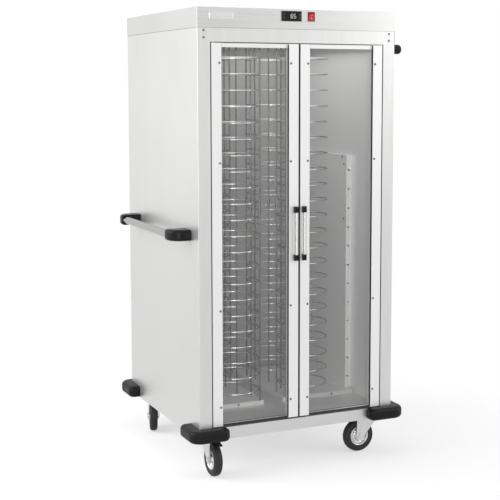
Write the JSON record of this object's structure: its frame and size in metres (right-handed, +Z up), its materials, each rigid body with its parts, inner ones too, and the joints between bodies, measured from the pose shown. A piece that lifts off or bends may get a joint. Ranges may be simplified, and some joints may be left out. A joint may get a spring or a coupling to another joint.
{
  "type": "heated plate cart",
  "caption": "Upright insulated steel cart on swivel casters with glass double doors, ring racks for served plates, a heater duct, a thermostat and a side push handle.",
  "frame": {"origin": "on the floor, at the middle of the whole cart's plan box", "axes": "+Z up; the doors face -Y; +X to the right of someone facing the doors"},
  "size_m": [0.917, 0.87, 1.7],
  "materials": {
    "brushed_panel_steel": "fine brushed",
    "liner_steel": "dull brushed",
    "insulation_foam": "matte fibre",
    "seal_rubber": "matte",
    "bumper_rubber": "satin",
    "door_profile": "satin anodised",
    "door_pane": "clear",
    "fastener_steel": "bright",
    "black_plastic": "satin",
    "handle_steel": "polished",
    "zinc_steel": "zinc plated",
    "wheel_core": "satin",
    "tyre_rubber": "matte",
    "display_lens": "gloss",
    "switch_red_frame": "gloss",
    "switch_red": "gloss",
    "rack_wire": "bright",
    "element_steel": "dull"
  },
  "bodies": {
    "cabinet": {"base_frame": "brushed_panel_steel", "left_side_panel": "brushed_panel_steel", "right_side_panel": "brushed_panel_steel", "back_panel": "brushed_panel_steel", "top_cover": "brushed_panel_steel", "front_lintel": "brushed_panel_steel", "inner_left_wall": "liner_steel", "inner_right_wall": "liner_steel", "inner_back_wall": "liner_steel", "inner_floor": "liner_steel", "inner_ceiling": "liner_steel", "wall_insulation": "insulation_foam", "door_gasket": "seal_rubber", "door_pivot_pins": "fastener_steel", "cabinet_screws": "fastener_steel", "corner_bumpers": "bumper_rubber", "push_handle_brackets": "black_plastic", "push_handle_tube": "handle_steel", "caster_mount_plates": "zinc_steel", "thermostat": "black_plastic", "temperature_probe": "handle_steel", "thermostat_display": "display_lens", "switch_frame": "switch_red_frame", "cord_hook": "black_plastic", "cable_gland": "black_plastic", "rack_platforms": "liner_steel", "heater_duct_cover": "liner_steel", "heating_element": "element_steel", "fan_motor": "element_steel", "front_left_plate_rack": "rack_wire", "front_right_plate_rack": "rack_wire", "rear_left_plate_rack": "rack_wire", "rear_right_plate_rack": "rack_wire"},
    "left_door": {"left_door_frame": "door_profile", "left_door_glass": "door_pane", "left_door_screws": "fastener_steel", "left_door_pull": "black_plastic"},
    "right_door": {"right_door_frame": "door_profile", "right_door_glass": "door_pane", "right_door_screws": "fastener_steel", "right_door_pull": "black_plastic"},
    "front_left_caster": {"front_left_fork": "zinc_steel"},
    "front_left_wheel": {"front_left_wheel_rim": "wheel_core", "front_left_tyre": "tyre_rubber"},
    "front_left_brake": {"front_left_brake_pedal": "black_plastic"},
    "front_right_caster": {"front_right_fork": "zinc_steel"},
    "front_right_wheel": {"front_right_wheel_rim": "wheel_core", "front_right_tyre": "tyre_rubber"},
    "front_right_brake": {"front_right_brake_pedal": "black_plastic"},
    "rear_left_caster": {"rear_left_fork": "zinc_steel"},
    "rear_left_wheel": {"rear_left_wheel_rim": "wheel_core", "rear_left_tyre": "tyre_rubber"},
    "rear_left_brake": {"rear_left_brake_pedal": "black_plastic"},
    "rear_right_caster": {"rear_right_fork": "zinc_steel"},
    "rear_right_wheel": {"rear_right_wheel_rim": "wheel_core", "rear_right_tyre": "tyre_rubber"},
    "rear_right_brake": {"rear_right_brake_pedal": "black_plastic"},
    "rocker": {"switch_rocker": "switch_red"},
    "fan": {"fan_impeller": "element_steel"}
  },
  "joints": [
    {"name": "left_door_hinge", "type": "hinge", "parent": "cabinet", "child": "left_door", "pos_m": [-0.3225, -0.386, 0.884], "axis": [0, 0, -1], "range_deg": [0, 110]},
    {"name": "right_door_hinge", "type": "hinge", "parent": "cabinet", "child": "right_door", "pos_m": [0.3575, -0.386, 0.884], "axis": [0, 0, 1], "range_deg": [0, 110]},
    {"name": "front_left_swivel", "type": "hinge", "parent": "cabinet", "child": "front_left_caster", "pos_m": [-0.3145, -0.318, 0.13], "axis": [0, 0, 1], "continuous": true},
    {"name": "front_left_wheel_spin", "type": "hinge", "parent": "front_left_caster", "child": "front_left_wheel", "pos_m": [-0.3145, -0.356, 0.0625], "axis": [1, 0, 0], "continuous": true},
    {"name": "front_left_brake_press", "type": "hinge", "parent": "front_left_caster", "child": "front_left_brake", "pos_m": [-0.3145, -0.362, 0.1295], "axis": [1, 0, 0], "range_deg": [0, 12]},
    {"name": "front_right_swivel", "type": "hinge", "parent": "cabinet", "child": "front_right_caster", "pos_m": [0.3495, -0.318, 0.13], "axis": [0, 0, 1], "continuous": true},
    {"name": "front_right_wheel_spin", "type": "hinge", "parent": "front_right_caster", "child": "front_right_wheel", "pos_m": [0.3115, -0.318, 0.0625], "axis": [0, -1, 0], "continuous": true},
    {"name": "front_right_brake_press", "type": "hinge", "parent": "front_right_caster", "child": "front_right_brake", "pos_m": [0.3055, -0.318, 0.1295], "axis": [0, -1, 0], "range_deg": [0, 12]},
    {"name": "rear_left_swivel", "type": "hinge", "parent": "cabinet", "child": "rear_left_caster", "pos_m": [-0.3145, 0.318, 0.13], "axis": [0, 0, 1], "continuous": true},
    {"name": "rear_left_wheel_spin", "type": "hinge", "parent": "rear_left_caster", "child": "rear_left_wheel", "pos_m": [-0.32561, 0.28166, 0.0625], "axis": [0.9563, -0.2924, 0], "continuous": true},
    {"name": "rear_left_brake_press", "type": "hinge", "parent": "rear_left_caster", "child": "rear_left_brake", "pos_m": [-0.32736, 0.27592, 0.1295], "axis": [0.9563, -0.2924, 0], "range_deg": [0, 12]},
    {"name": "rear_right_swivel", "type": "hinge", "parent": "cabinet", "child": "rear_right_caster", "pos_m": [0.3495, 0.318, 0.13], "axis": [0, 0, 1], "continuous": true},
    {"name": "rear_right_wheel_spin", "type": "hinge", "parent": "rear_right_caster", "child": "rear_right_wheel", "pos_m": [0.3685, 0.28509, 0.0625], "axis": [0.866, 0.5, 0], "continuous": true},
    {"name": "rear_right_brake_press", "type": "hinge", "parent": "rear_right_caster", "child": "rear_right_brake", "pos_m": [0.3715, 0.2799, 0.1295], "axis": [0.866, 0.5, 0], "range_deg": [0, 12]},
    {"name": "switch_rock", "type": "hinge", "parent": "cabinet", "child": "rocker", "pos_m": [0.0635, -0.3905, 1.675], "axis": [1, 0, 0], "range_deg": [-16, 0]},
    {"name": "fan_spin", "type": "hinge", "parent": "cabinet", "child": "fan", "pos_m": [0.3665, 0.2, 0.4325], "axis": [1, 0, 0], "continuous": true}
  ]
}
